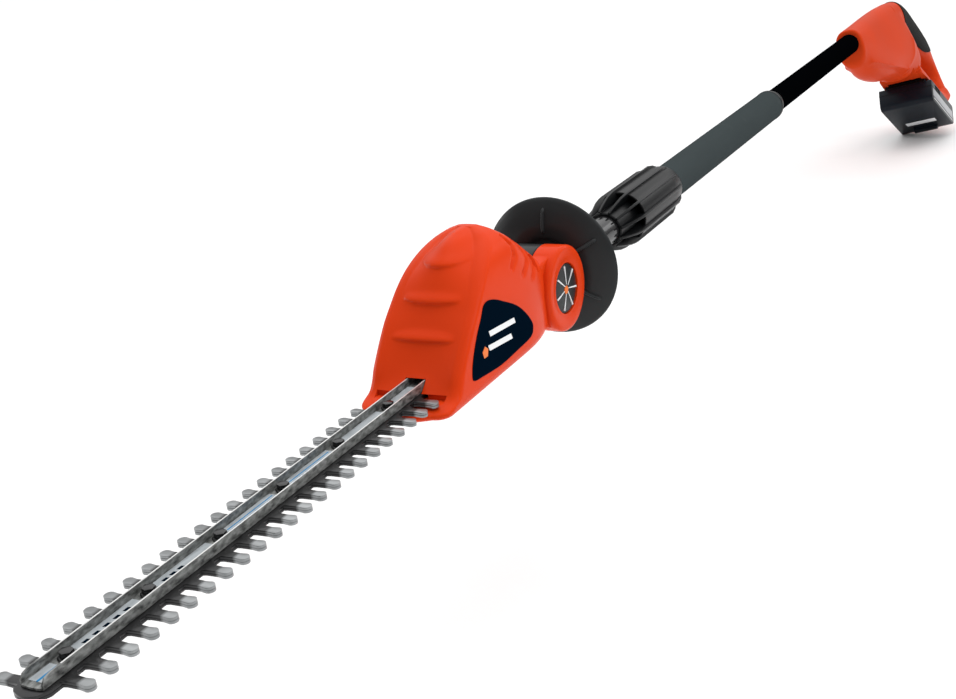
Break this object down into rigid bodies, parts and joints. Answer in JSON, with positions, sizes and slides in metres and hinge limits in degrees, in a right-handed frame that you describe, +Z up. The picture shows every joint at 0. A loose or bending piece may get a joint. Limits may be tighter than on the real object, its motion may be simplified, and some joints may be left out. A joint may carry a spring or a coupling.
{
  "type": "cordless pole hedge trimmer",
  "caption": "Cordless pole hedge trimmer with double-sided blades, tilting motor head, round guard, telescopic pole and rear loop handle with slide-on battery.",
  "frame": {"origin": "bottom centre of the bounding box", "axes": "+X along the pole towards the blade tip, +Z up, +Y to the tool's left"},
  "size_m": [2.6132, 0.1796, 0.3679],
  "materials": {
    "blade_steel": "satin",
    "bar_coating": "satin",
    "black_steel": "satin",
    "bright_steel": "satin",
    "gear_steel": "satin",
    "orange_shell": "gloss",
    "tube_satin": "satin",
    "tube_gloss": "gloss",
    "rubber": "matt",
    "black_plastic": "satin"
  },
  "bodies": {
    "handle": {"rear_tube": "tube_gloss", "grip_sleeve": "rubber", "sleeve_cap": "black_plastic", "collar_hub": "black_plastic", "handle_shell_left": "orange_shell", "handle_shell_right": "orange_shell", "grip_overmould": "rubber", "switch_module": "black_plastic", "terminal_block": "black_plastic"},
    "collar": {"collar_nut": "black_plastic"},
    "pole_front": {"front_tube": "tube_satin", "knuckle": "black_plastic", "guard_disc": "black_plastic"},
    "blade_top": {"upper_blade": "blade_steel"},
    "blade_bottom": {"lower_blade": "blade_steel"},
    "crank": {"drive_gear": "gear_steel"},
    "pinion": {"motor_pinion": "gear_steel"},
    "button_left": {"pivot_button_left": "black_plastic"},
    "button_right": {"pivot_button_right": "black_plastic"},
    "trigger_lever": {"trigger": "black_plastic"},
    "lock_button": {"lock_off_button": "black_plastic"},
    "battery": {"battery_case": "black_plastic"},
    "latch_left": {"battery_latch_left": "black_plastic"},
    "latch_right": {"battery_latch_right": "black_plastic"},
    "head": {"guide_bar": "bar_coating", "retainer_strip": "bright_steel", "bar_bolt_1": "black_steel", "bar_nut_1": "black_steel", "bar_bolt_2": "black_steel", "bar_nut_2": "black_steel", "bar_bolt_3": "black_steel", "bar_nut_3": "black_steel", "bar_bolt_4": "black_steel", "bar_nut_4": "black_steel", "bar_bolt_5": "black_steel", "bar_nut_5": "black_steel", "bar_bolt_6": "black_steel", "bar_nut_6": "black_steel", "head_shell_left": "orange_shell", "head_shell_right": "orange_shell", "motor": "bright_steel", "gearbox_plate": "bright_steel", "pivot_pin": "bright_steel"}
  },
  "joints": [
    {"name": "pole_extend", "type": "slide", "parent": "handle", "child": "pole_front", "axis": [1, 0, 0], "range_m": [0, 0.3]},
    {"name": "collar_twist", "type": "hinge", "parent": "handle", "child": "collar", "pos_m": [0.32215, -0.01631, 0.26962], "axis": [1, 0, 0], "range_deg": [0, 90]},
    {"name": "head_tilt", "type": "hinge", "parent": "pole_front", "child": "head", "pos_m": [0.61415, -0.01631, 0.27292], "axis": [0, 1, 0], "range_deg": [-75, 70]},
    {"name": "top_blade_stroke", "type": "slide", "parent": "head", "child": "blade_top", "axis": [1, 0, 0], "range_m": [-0.008, 0.008]},
    {"name": "bottom_blade_stroke", "type": "slide", "parent": "head", "child": "blade_bottom", "axis": [1, 0, 0], "range_m": [-0.008, 0.008]},
    {"name": "crank_spin", "type": "hinge", "parent": "head", "child": "crank", "pos_m": [0.76215, -0.01631, 0.25492], "axis": [0, 0, 1], "continuous": true},
    {"name": "pinion_spin", "type": "hinge", "parent": "head", "child": "pinion", "pos_m": [0.7318, -0.01631, 0.25492], "axis": [0, 0, 1], "continuous": true},
    {"name": "left_pivot_button_press", "type": "slide", "parent": "head", "child": "button_left", "axis": [0, -1, 0], "range_m": [0, 0.004], "stiffness_N_per_m": 1200, "springref_m": -0.003},
    {"name": "right_pivot_button_press", "type": "slide", "parent": "head", "child": "button_right", "axis": [0, 1, 0], "range_m": [0, 0.004], "stiffness_N_per_m": 1200, "springref_m": -0.003},
    {"name": "trigger_pull", "type": "hinge", "parent": "handle", "child": "trigger_lever", "pos_m": [-1.11585, -0.00259, 0.20506], "axis": [0, 0.9781, 0.2079], "range_deg": [0, 9], "stiffness_Nm_per_rad": 1.2, "springref_deg": -8.59},
    {"name": "lock_off_press", "type": "slide", "parent": "handle", "child": "lock_button", "axis": [0, 0.9781, 0.2079], "range_m": [0, 0.0025], "stiffness_N_per_m": 800, "springref_m": -0.003},
    {"name": "battery_slide", "type": "slide", "parent": "handle", "child": "battery", "axis": [-0.8415, 0.1123, -0.5284], "range_m": [0, 0.12]},
    {"name": "left_latch_press", "type": "slide", "parent": "battery", "child": "latch_left", "axis": [0, -0.9781, -0.2079], "range_m": [0, 0.0025], "stiffness_N_per_m": 1000, "springref_m": -0.003},
    {"name": "right_latch_press", "type": "slide", "parent": "battery", "child": "latch_right", "axis": [0, 0.9781, 0.2079], "range_m": [0, 0.0025], "stiffness_N_per_m": 1000, "springref_m": -0.003}
  ],
  "couplings": [
    {"joint": "bottom_blade_stroke", "follows": "top_blade_stroke", "ratio": -1},
    {"joint": "pinion_spin", "follows": "crank_spin", "ratio": -4}
  ]
}
